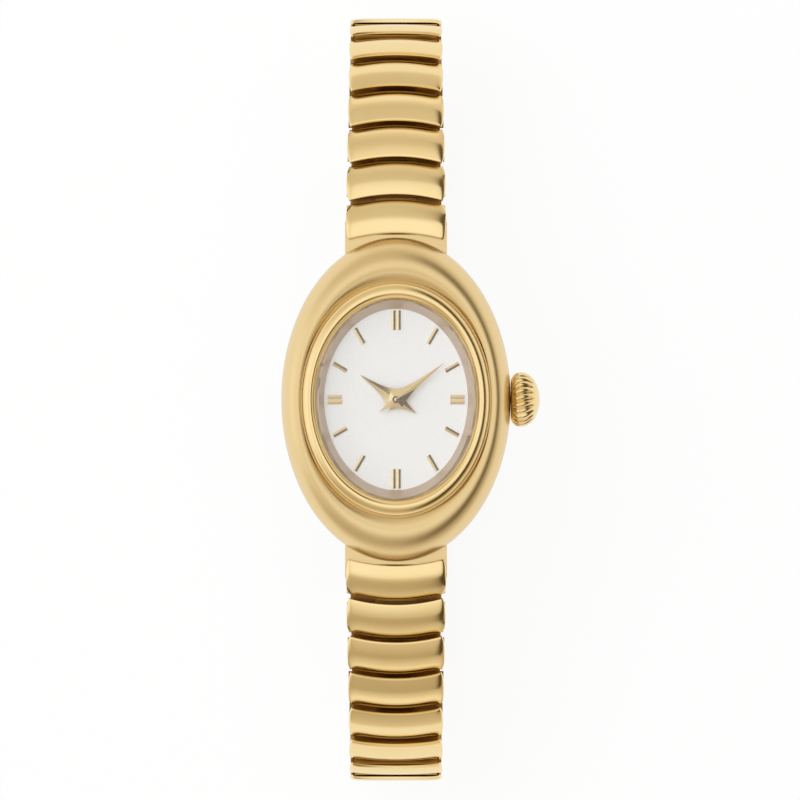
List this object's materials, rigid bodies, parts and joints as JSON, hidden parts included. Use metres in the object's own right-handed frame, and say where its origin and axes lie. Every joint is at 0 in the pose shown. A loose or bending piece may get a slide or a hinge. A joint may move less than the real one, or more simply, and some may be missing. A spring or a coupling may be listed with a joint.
{
  "type": "wristwatch",
  "caption": "Small oval quartz dress watch on a closed expanding bracelet of domed links, with turning hands and a pull-out crown.",
  "frame": {"origin": "middle of the flat outer face of the case back", "axes": "+X towards 3 o'clock and the crown, +Y towards 12 o'clock along the bracelet, +Z out of the dial"},
  "size_m": [0.0211, 0.0648, 0.0316],
  "materials": {
    "case_metal": "gold-toned plating on steel, satin",
    "back_metal": "bare stainless steel, satin",
    "bezel_metal": "gold-toned plating on steel, polished",
    "crown_metal": "gold-toned plating on steel, polished",
    "bracelet_metal": "gold-toned plating on steel, polished",
    "crystal_glass": "clear mineral glass",
    "dial_ring_finish": "taupe paint, satin",
    "dial_white": "white paint, matte",
    "gilt": "gilt, polished facets",
    "movement_steel": "hardened steel, fine ground",
    "movement_brass": "brass, as cut",
    "movement_nickel": "nickel-plated brass, satin",
    "cell_steel": "nickel-plated steel can",
    "coil_copper": "enamelled copper wire"
  },
  "bodies": {
    "case": {"case_middle": "case_metal", "case_back": "back_metal", "bezel": "bezel_metal", "crystal": "crystal_glass", "dial_ring": "dial_ring_finish", "dial": "dial_white", "hour_markers": "gilt", "main_plate": "movement_nickel", "button_cell": "cell_steel", "drive_coil": "coil_copper", "spring_bars": "movement_steel"},
    "minute_hand": {"minute_hand": "gilt", "cannon_pinion": "movement_steel"},
    "minute_wheel": {"minute_wheel": "movement_brass"},
    "hour_hand": {"hour_hand": "gilt", "hour_wheel": "movement_brass"},
    "clutch": {"clutch_pinion": "movement_steel"},
    "crown": {"crown": "crown_metal", "winding_stem": "movement_steel"},
    "setting_lever": {"setting_lever": "movement_steel"},
    "upper_link_01": {"upper_link_01": "bracelet_metal"},
    "upper_link_02": {"upper_link_02": "bracelet_metal"},
    "upper_link_03": {"upper_link_03": "bracelet_metal"},
    "upper_link_04": {"upper_link_04": "bracelet_metal"},
    "upper_link_05": {"upper_link_05": "bracelet_metal"},
    "upper_link_06": {"upper_link_06": "bracelet_metal"},
    "upper_link_07": {"upper_link_07": "bracelet_metal"},
    "upper_link_08": {"upper_link_08": "bracelet_metal"},
    "upper_link_09": {"upper_link_09": "bracelet_metal"},
    "upper_link_10": {"upper_link_10": "bracelet_metal"},
    "upper_link_11": {"upper_link_11": "bracelet_metal"},
    "upper_link_12": {"upper_link_12": "bracelet_metal"},
    "upper_link_13": {"upper_link_13": "bracelet_metal"},
    "upper_link_14": {"upper_link_14": "bracelet_metal"},
    "upper_link_15": {"upper_link_15": "bracelet_metal"},
    "upper_link_16": {"upper_link_16": "bracelet_metal"},
    "upper_link_17": {"upper_link_17": "bracelet_metal"},
    "upper_link_18": {"upper_link_18": "bracelet_metal"},
    "upper_link_19": {"upper_link_19": "bracelet_metal"},
    "upper_link_20": {"upper_link_20": "bracelet_metal"},
    "lower_link_01": {"lower_link_01": "bracelet_metal"},
    "lower_link_02": {"lower_link_02": "bracelet_metal"},
    "lower_link_03": {"lower_link_03": "bracelet_metal"},
    "lower_link_04": {"lower_link_04": "bracelet_metal"},
    "lower_link_05": {"lower_link_05": "bracelet_metal"},
    "lower_link_06": {"lower_link_06": "bracelet_metal"},
    "lower_link_07": {"lower_link_07": "bracelet_metal"},
    "lower_link_08": {"lower_link_08": "bracelet_metal"},
    "lower_link_09": {"lower_link_09": "bracelet_metal"},
    "lower_link_10": {"lower_link_10": "bracelet_metal"},
    "lower_link_11": {"lower_link_11": "bracelet_metal"},
    "lower_link_12": {"lower_link_12": "bracelet_metal"},
    "lower_link_13": {"lower_link_13": "bracelet_metal"},
    "lower_link_14": {"lower_link_14": "bracelet_metal"},
    "lower_link_15": {"lower_link_15": "bracelet_metal"},
    "lower_link_16": {"lower_link_16": "bracelet_metal"},
    "lower_link_17": {"lower_link_17": "bracelet_metal"},
    "lower_link_18": {"lower_link_18": "bracelet_metal"},
    "lower_link_19": {"lower_link_19": "bracelet_metal"},
    "lower_link_20": {"lower_link_20": "bracelet_metal"}
  },
  "joints": [
    {"name": "hands_turn", "type": "hinge", "parent": "case", "child": "minute_hand", "pos_m": [0, 0, 0.0031], "axis": [0, 0, 1], "continuous": true},
    {"name": "minute_wheel_turn", "type": "hinge", "parent": "case", "child": "minute_wheel", "pos_m": [-0.0016, -0.00074, 0.0031], "axis": [0, 0, 1], "continuous": true},
    {"name": "hour_hand_turn", "type": "hinge", "parent": "case", "child": "hour_hand", "pos_m": [0, 0, 0.0031], "axis": [0, 0, 1], "continuous": true},
    {"name": "crown_turn", "type": "hinge", "parent": "case", "child": "clutch", "pos_m": [0.003, 0, 0.00225], "axis": [1, 0, 0], "continuous": true},
    {"name": "crown_pull", "type": "slide", "parent": "clutch", "child": "crown", "axis": [1, 0, 0], "range_m": [0, 0.0008]},
    {"name": "setting_lever_turn", "type": "hinge", "parent": "case", "child": "setting_lever", "pos_m": [0.0046, -0.0017, 0.0031], "axis": [0, 0, -1], "range_deg": [-0.5, 27.46]},
    {"name": "upper_hinge_01", "type": "hinge", "parent": "case", "child": "upper_link_01", "pos_m": [0, 0.0141, 0.00248], "axis": [-1, 0, 0], "range_deg": [-4.13, 0.2], "stiffness_Nm_per_rad": 0.02, "springref_deg": -1.22},
    {"name": "bracelet_stretch", "type": "slide", "parent": "upper_link_01", "child": "upper_link_02", "axis": [0, 0.9759, -0.2182], "range_m": [0, 0.0008], "stiffness_N_per_m": 21, "springref_m": 0.00069},
    {"name": "bracelet_flex", "type": "hinge", "parent": "upper_link_02", "child": "upper_link_03", "pos_m": [0, 0.02105, 0.00102], "axis": [-1, 0, 0], "range_deg": [-2, 2]},
    {"name": "upper_slide_04", "type": "slide", "parent": "upper_link_03", "child": "upper_link_04", "axis": [0, 0.9068, -0.4216], "range_m": [-0.00001, 0.00081], "stiffness_N_per_m": 43, "springref_m": 0.00069},
    {"name": "upper_hinge_05", "type": "hinge", "parent": "upper_link_04", "child": "upper_link_05", "pos_m": [0, 0.02677, -0.00172], "axis": [-1, 0, 0], "range_deg": [-2.2, 2.2]},
    {"name": "upper_slide_06", "type": "slide", "parent": "upper_link_05", "child": "upper_link_06", "axis": [0, 0.6147, -0.7887], "range_m": [-0.00001, 0.00081], "stiffness_N_per_m": 84, "springref_m": 0.0007},
    {"name": "upper_hinge_07", "type": "hinge", "parent": "upper_link_06", "child": "upper_link_07", "pos_m": [0, 0.03068, -0.00674], "axis": [-1, 0, 0], "range_deg": [-2.82, 2.82]},
    {"name": "upper_slide_08", "type": "slide", "parent": "upper_link_07", "child": "upper_link_08", "axis": [0, 0.1027, -0.9947], "range_m": [-0.00001, 0.00081], "stiffness_N_per_m": 110, "springref_m": 0.0007},
    {"name": "upper_hinge_09", "type": "hinge", "parent": "upper_link_08", "child": "upper_link_09", "pos_m": [0, 0.03134, -0.01308], "axis": [-1, 0, 0], "range_deg": [-2.82, 2.82]},
    {"name": "upper_slide_10", "type": "slide", "parent": "upper_link_09", "child": "upper_link_10", "axis": [0, -0.4406, -0.8977], "range_m": [-0.00001, 0.00081], "stiffness_N_per_m": 110, "springref_m": 0.00065},
    {"name": "upper_hinge_11", "type": "hinge", "parent": "upper_link_10", "child": "upper_link_11", "pos_m": [0, 0.02853, -0.01879], "axis": [-1, 0, 0], "range_deg": [-2.82, 2.82]},
    {"name": "upper_slide_12", "type": "slide", "parent": "upper_link_11", "child": "upper_link_12", "axis": [0, -0.8497, -0.5273], "range_m": [-0.00001, 0.00081], "stiffness_N_per_m": 61, "springref_m": 0.0007},
    {"name": "upper_hinge_13", "type": "hinge", "parent": "upper_link_12", "child": "upper_link_13", "pos_m": [0, 0.02322, -0.02228], "axis": [-1, 0, 0], "range_deg": [-2.82, 2.82]},
    {"name": "upper_slide_14", "type": "slide", "parent": "upper_link_13", "child": "upper_link_14", "axis": [0, -0.9556, -0.2948], "range_m": [-0.00001, 0.00081], "stiffness_N_per_m": 33, "springref_m": 0.0007},
    {"name": "upper_hinge_15", "type": "hinge", "parent": "upper_link_14", "child": "upper_link_15", "pos_m": [0, 0.0172, -0.02414], "axis": [-1, 0, 0], "range_deg": [-3.44, 3.44]},
    {"name": "upper_slide_16", "type": "slide", "parent": "upper_link_15", "child": "upper_link_16", "axis": [0, -0.9965, -0.0839], "range_m": [-0.00001, 0.00081], "stiffness_N_per_m": 6.3, "springref_m": 0.0007},
    {"name": "upper_hinge_17", "type": "hinge", "parent": "upper_link_16", "child": "upper_link_17", "pos_m": [0, 0.01092, -0.02468], "axis": [-1, 0, 0], "range_deg": [-3.44, 3.44]},
    {"name": "upper_slide_18", "type": "slide", "parent": "upper_link_17", "child": "upper_link_18", "axis": [0, -1, 0], "range_m": [-0.00001, 0.00081], "stiffness_N_per_m": 0.88, "springref_m": -0.0007},
    {"name": "upper_hinge_19", "type": "hinge", "parent": "upper_link_18", "child": "upper_link_19", "pos_m": [0, 0.00468, -0.02468], "axis": [-1, 0, 0], "range_deg": [-0.2, 4.13], "stiffness_Nm_per_rad": 0.00045, "springref_deg": 1.25},
    {"name": "upper_slide_20", "type": "slide", "parent": "upper_link_19", "child": "upper_link_20", "axis": [0, -1, 0], "range_m": [-0.00001, 0.00081], "stiffness_N_per_m": 0.25, "springref_m": 0.00026},
    {"name": "lower_hinge_01", "type": "hinge", "parent": "case", "child": "lower_link_01", "pos_m": [0, -0.0141, 0.00248], "axis": [1, 0, 0], "range_deg": [-4.13, 0.2], "stiffness_Nm_per_rad": 0.02, "springref_deg": -1.22},
    {"name": "lower_slide_02", "type": "slide", "parent": "lower_link_01", "child": "lower_link_02", "axis": [0, -0.9759, -0.2182], "range_m": [-0.00001, 0.00081], "stiffness_N_per_m": 21, "springref_m": 0.00068},
    {"name": "lower_hinge_03", "type": "hinge", "parent": "lower_link_02", "child": "lower_link_03", "pos_m": [0, -0.02105, 0.00102], "axis": [1, 0, 0], "range_deg": [-2.2, 2.2]},
    {"name": "lower_slide_04", "type": "slide", "parent": "lower_link_03", "child": "lower_link_04", "axis": [0, -0.9068, -0.4216], "range_m": [-0.00001, 0.00081], "stiffness_N_per_m": 43, "springref_m": 0.00069},
    {"name": "lower_hinge_05", "type": "hinge", "parent": "lower_link_04", "child": "lower_link_05", "pos_m": [0, -0.02677, -0.00172], "axis": [1, 0, 0], "range_deg": [-2.2, 2.2]},
    {"name": "lower_slide_06", "type": "slide", "parent": "lower_link_05", "child": "lower_link_06", "axis": [0, -0.6147, -0.7887], "range_m": [-0.00001, 0.00081], "stiffness_N_per_m": 83, "springref_m": 0.0007},
    {"name": "lower_hinge_07", "type": "hinge", "parent": "lower_link_06", "child": "lower_link_07", "pos_m": [0, -0.03068, -0.00674], "axis": [1, 0, 0], "range_deg": [-2.82, 2.82]},
    {"name": "lower_slide_08", "type": "slide", "parent": "lower_link_07", "child": "lower_link_08", "axis": [0, -0.1027, -0.9947], "range_m": [-0.00001, 0.00081], "stiffness_N_per_m": 110, "springref_m": 0.0007},
    {"name": "lower_hinge_09", "type": "hinge", "parent": "lower_link_08", "child": "lower_link_09", "pos_m": [0, -0.03134, -0.01308], "axis": [1, 0, 0], "range_deg": [-2.82, 2.82]},
    {"name": "lower_slide_10", "type": "slide", "parent": "lower_link_09", "child": "lower_link_10", "axis": [0, 0.4406, -0.8977], "range_m": [-0.00001, 0.00081], "stiffness_N_per_m": 110, "springref_m": 0.00065},
    {"name": "lower_hinge_11", "type": "hinge", "parent": "lower_link_10", "child": "lower_link_11", "pos_m": [0, -0.02853, -0.01879], "axis": [1, 0, 0], "range_deg": [-2.82, 2.82]},
    {"name": "lower_slide_12", "type": "slide", "parent": "lower_link_11", "child": "lower_link_12", "axis": [0, 0.8497, -0.5273], "range_m": [-0.00001, 0.00081], "stiffness_N_per_m": 61, "springref_m": 0.0007},
    {"name": "lower_hinge_13", "type": "hinge", "parent": "lower_link_12", "child": "lower_link_13", "pos_m": [0, -0.02322, -0.02228], "axis": [1, 0, 0], "range_deg": [-2.82, 2.82]},
    {"name": "lower_slide_14", "type": "slide", "parent": "lower_link_13", "child": "lower_link_14", "axis": [0, 0.9556, -0.2948], "range_m": [-0.00001, 0.00081], "stiffness_N_per_m": 34, "springref_m": 0.00069},
    {"name": "lower_hinge_15", "type": "hinge", "parent": "lower_link_14", "child": "lower_link_15", "pos_m": [0, -0.0172, -0.02414], "axis": [1, 0, 0], "range_deg": [-3.44, 3.44]},
    {"name": "lower_slide_16", "type": "slide", "parent": "lower_link_15", "child": "lower_link_16", "axis": [0, 0.9965, -0.0839], "range_m": [-0.00001, 0.00081], "stiffness_N_per_m": 6.6, "springref_m": 0.0007},
    {"name": "lower_hinge_17", "type": "hinge", "parent": "lower_link_16", "child": "lower_link_17", "pos_m": [0, -0.01092, -0.02468], "axis": [1, 0, 0], "range_deg": [-3.44, 3.44]},
    {"name": "lower_slide_18", "type": "slide", "parent": "lower_link_17", "child": "lower_link_18", "axis": [0, 1, 0], "range_m": [-0.00001, 0.00081], "stiffness_N_per_m": 0.79, "springref_m": -0.0007},
    {"name": "lower_hinge_19", "type": "hinge", "parent": "lower_link_18", "child": "lower_link_19", "pos_m": [0, -0.00468, -0.02468], "axis": [1, 0, 0], "range_deg": [-0.2, 4.13], "stiffness_Nm_per_rad": 0.0003, "springref_deg": 1.24},
    {"name": "lower_slide_20", "type": "slide", "parent": "lower_link_19", "child": "lower_link_20", "axis": [0, 1, 0], "range_m": [-0.00001, 0.00081], "stiffness_N_per_m": 0.15, "springref_m": 0.00025}
  ],
  "couplings": [
    {"joint": "minute_wheel_turn", "follows": "hands_turn", "ratio": -0.33333},
    {"joint": "hour_hand_turn", "follows": "hands_turn", "ratio": 0.083333},
    {"joint": "setting_lever_turn", "follows": "crown_pull", "rad_per_m": 588.24},
    {"joint": "upper_hinge_01", "follows": "bracelet_stretch", "rad_per_m": -85.7},
    {"joint": "upper_slide_04", "follows": "bracelet_stretch", "ratio": 1},
    {"joint": "upper_hinge_05", "follows": "bracelet_flex", "ratio": 1},
    {"joint": "upper_slide_06", "follows": "bracelet_stretch", "ratio": 1},
    {"joint": "upper_hinge_07", "follows": "bracelet_flex", "ratio": -1.31},
    {"joint": "upper_slide_08", "follows": "bracelet_stretch", "ratio": 1},
    {"joint": "upper_hinge_09", "follows": "bracelet_flex", "ratio": -1.31},
    {"joint": "upper_slide_10", "follows": "bracelet_stretch", "ratio": 1},
    {"joint": "upper_hinge_11", "follows": "bracelet_flex", "ratio": -1.31},
    {"joint": "upper_slide_12", "follows": "bracelet_stretch", "ratio": 1},
    {"joint": "upper_hinge_13", "follows": "bracelet_flex", "ratio": -1.31},
    {"joint": "upper_slide_14", "follows": "bracelet_stretch", "ratio": 1},
    {"joint": "upper_hinge_15", "follows": "bracelet_flex", "ratio": 1.62},
    {"joint": "upper_slide_16", "follows": "bracelet_stretch", "ratio": 1},
    {"joint": "upper_hinge_17", "follows": "bracelet_flex", "ratio": 1.62},
    {"joint": "upper_slide_18", "follows": "bracelet_stretch", "ratio": 1},
    {"joint": "upper_hinge_19", "follows": "bracelet_stretch", "rad_per_m": 85.7},
    {"joint": "upper_slide_20", "follows": "bracelet_stretch", "ratio": 1},
    {"joint": "lower_hinge_01", "follows": "bracelet_stretch", "rad_per_m": -85.7},
    {"joint": "lower_slide_02", "follows": "bracelet_stretch", "ratio": 1},
    {"joint": "lower_hinge_03", "follows": "bracelet_flex", "ratio": 1},
    {"joint": "lower_slide_04", "follows": "bracelet_stretch", "ratio": 1},
    {"joint": "lower_hinge_05", "follows": "bracelet_flex", "ratio": 1},
    {"joint": "lower_slide_06", "follows": "bracelet_stretch", "ratio": 1},
    {"joint": "lower_hinge_07", "follows": "bracelet_flex", "ratio": -1.31},
    {"joint": "lower_slide_08", "follows": "bracelet_stretch", "ratio": 1},
    {"joint": "lower_hinge_09", "follows": "bracelet_flex", "ratio": -1.31},
    {"joint": "lower_slide_10", "follows": "bracelet_stretch", "ratio": 1},
    {"joint": "lower_hinge_11", "follows": "bracelet_flex", "ratio": -1.31},
    {"joint": "lower_slide_12", "follows": "bracelet_stretch", "ratio": 1},
    {"joint": "lower_hinge_13", "follows": "bracelet_flex", "ratio": -1.31},
    {"joint": "lower_slide_14", "follows": "bracelet_stretch", "ratio": 1},
    {"joint": "lower_hinge_15", "follows": "bracelet_flex", "ratio": 1.62},
    {"joint": "lower_slide_16", "follows": "bracelet_stretch", "ratio": 1},
    {"joint": "lower_hinge_17", "follows": "bracelet_flex", "ratio": 1.62},
    {"joint": "lower_slide_18", "follows": "bracelet_stretch", "ratio": 1},
    {"joint": "lower_hinge_19", "follows": "bracelet_stretch", "rad_per_m": 85.7},
    {"joint": "lower_slide_20", "follows": "bracelet_stretch", "ratio": 1}
  ]
}
